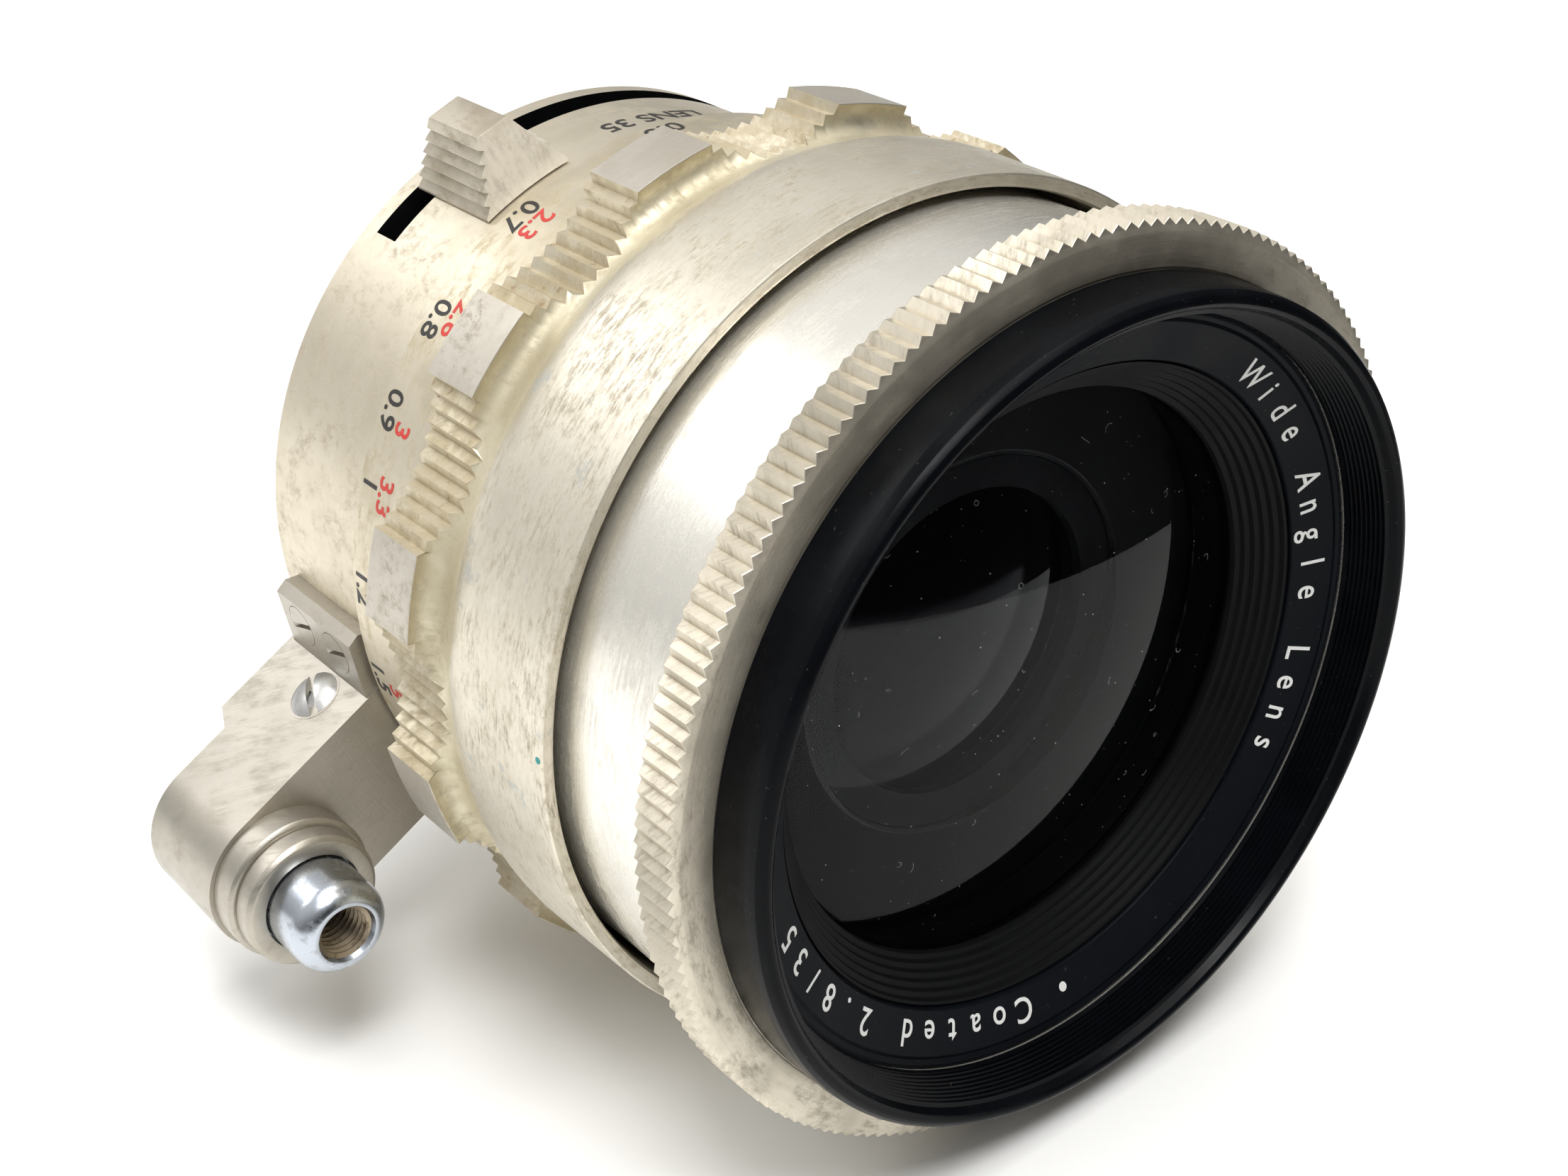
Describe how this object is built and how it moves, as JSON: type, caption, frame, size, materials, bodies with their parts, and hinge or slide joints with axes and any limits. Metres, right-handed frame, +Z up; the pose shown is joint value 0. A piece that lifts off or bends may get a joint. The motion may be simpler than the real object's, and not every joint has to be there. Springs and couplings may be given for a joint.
{
  "type": "wide-angle prime lens",
  "caption": "Wide-angle prime lens for a single-lens reflex: scalloped focusing ring, knurled aperture ring, cocking lever and an outside shutter-release arm.",
  "frame": {"origin": "on the optical axis, at the seat of the bayonet mount", "axes": "+Y along the optical axis towards the camera, so the front element faces -Y; +Z up; +X to the right as seen from in front"},
  "size_m": [0.0684, 0.0594, 0.0582],
  "materials": {
    "satin_silver": "satin, bright anodised",
    "brushed_silver": "brushed around the axis",
    "polished_silver": "polished",
    "black_anodised": "satin black anodised",
    "steel": "ground",
    "plated_brass": "dull chrome over brass",
    "brass": "turned",
    "coated_glass": "single coated"
  },
  "bodies": {
    "fixed_barrel": {"rear_barrel": "satin_silver", "bayonet_ring": "plated_brass", "bayonet_screws": "steel", "guide_keys": "brass", "focus_retainer": "brass", "arm_bracket": "satin_silver", "arm_foot_screws": "steel", "arm_pivot_screw": "steel", "button_collar": "satin_silver", "button_cap": "satin_silver", "plunger_spring": "steel"},
    "plunger": {"release_plunger": "steel"},
    "rocker": {"trip_rocker": "brass"},
    "lever": {"cocking_lever": "satin_silver", "lever_carrier": "black_anodised", "lever_screws": "steel"},
    "focus": {"focus_ring": "brushed_silver", "focus_nut": "brass", "nut_screws": "steel"},
    "front": {"front_barrel": "polished_silver", "iris_housing": "black_anodised", "housing_screws": "steel", "front_cell": "black_anodised", "front_retainer": "black_anodised", "name_ring": "black_anodised", "filter_ring": "black_anodised", "inner_retainer": "black_anodised", "rear_cell": "black_anodised", "doublet_retainer": "black_anodised", "rear_spacer": "black_anodised", "rear_retainer": "black_anodised", "click_ball": "steel", "click_spring": "steel", "front_element": "coated_glass", "second_element": "coated_glass", "third_element": "coated_glass", "fourth_element": "coated_glass", "fifth_element": "coated_glass", "sixth_element": "coated_glass"},
    "aperture": {"aperture_ring": "satin_silver", "aperture_sleeve": "black_anodised", "aperture_pins": "steel", "iris_drive_ring": "black_anodised", "drive_pin": "steel"},
    "blade_1": {"iris_blade_1": "steel"},
    "blade_2": {"iris_blade_2": "steel"},
    "blade_3": {"iris_blade_3": "steel"},
    "blade_4": {"iris_blade_4": "steel"},
    "blade_5": {"iris_blade_5": "steel"},
    "blade_6": {"iris_blade_6": "steel"}
  },
  "joints": [
    {"name": "focus_turn", "type": "hinge", "parent": "fixed_barrel", "child": "focus", "pos_m": [0, -0.016, 0], "axis": [0, 1, 0], "range_deg": [0, 300]},
    {"name": "barrel_slide", "type": "slide", "parent": "fixed_barrel", "child": "front", "axis": [0, 1, 0], "range_m": [0, 0.00475]},
    {"name": "aperture_turn", "type": "hinge", "parent": "front", "child": "aperture", "pos_m": [0, -0.0486, 0], "axis": [0, 1, 0], "range_deg": [0, 42]},
    {"name": "blade_1_swing", "type": "hinge", "parent": "front", "child": "blade_1", "pos_m": [0, -0.032, 0.0183], "axis": [0, 1, 0], "range_deg": [-30, 0]},
    {"name": "blade_2_swing", "type": "hinge", "parent": "front", "child": "blade_2", "pos_m": [-0.01585, -0.032, 0.00915], "axis": [0, 1, 0], "range_deg": [-30, 0]},
    {"name": "blade_3_swing", "type": "hinge", "parent": "front", "child": "blade_3", "pos_m": [-0.01585, -0.032, -0.00915], "axis": [0, 1, 0], "range_deg": [-30, 0]},
    {"name": "blade_4_swing", "type": "hinge", "parent": "front", "child": "blade_4", "pos_m": [0, -0.032, -0.0183], "axis": [0, 1, 0], "range_deg": [-30, 0]},
    {"name": "blade_5_swing", "type": "hinge", "parent": "front", "child": "blade_5", "pos_m": [0.01585, -0.032, -0.00915], "axis": [0, 1, 0], "range_deg": [-30, 0]},
    {"name": "blade_6_swing", "type": "hinge", "parent": "front", "child": "blade_6", "pos_m": [0.01585, -0.032, 0.00915], "axis": [0, 1, 0], "range_deg": [-30, 0]},
    {"name": "lever_turn", "type": "hinge", "parent": "fixed_barrel", "child": "lever", "pos_m": [0, -0.0027, 0], "axis": [0, 1, 0], "range_deg": [-8, 62]},
    {"name": "plunger_press", "type": "slide", "parent": "fixed_barrel", "child": "plunger", "axis": [0, 1, 0], "range_m": [0, 0.0022], "stiffness_N_per_m": 400, "springref_m": -0.004, "deforming": ["plunger_spring"]},
    {"name": "rocker_turn", "type": "hinge", "parent": "fixed_barrel", "child": "rocker", "pos_m": [-0.02481, -0.0076, -0.01319], "axis": [0.4695, 0, -0.8829], "range_deg": [0, 17.58]}
  ],
  "couplings": [
    {"joint": "barrel_slide", "follows": "focus_turn", "m_per_rad": 0.00090718},
    {"joint": "blade_1_swing", "follows": "aperture_turn", "ratio": -0.71428},
    {"joint": "blade_2_swing", "follows": "aperture_turn", "ratio": -0.71428},
    {"joint": "blade_3_swing", "follows": "aperture_turn", "ratio": -0.71428},
    {"joint": "blade_4_swing", "follows": "aperture_turn", "ratio": -0.71428},
    {"joint": "blade_5_swing", "follows": "aperture_turn", "ratio": -0.71428},
    {"joint": "blade_6_swing", "follows": "aperture_turn", "ratio": -0.71428},
    {"joint": "rocker_turn", "follows": "plunger_press", "rad_per_m": 139.43}
  ]
}
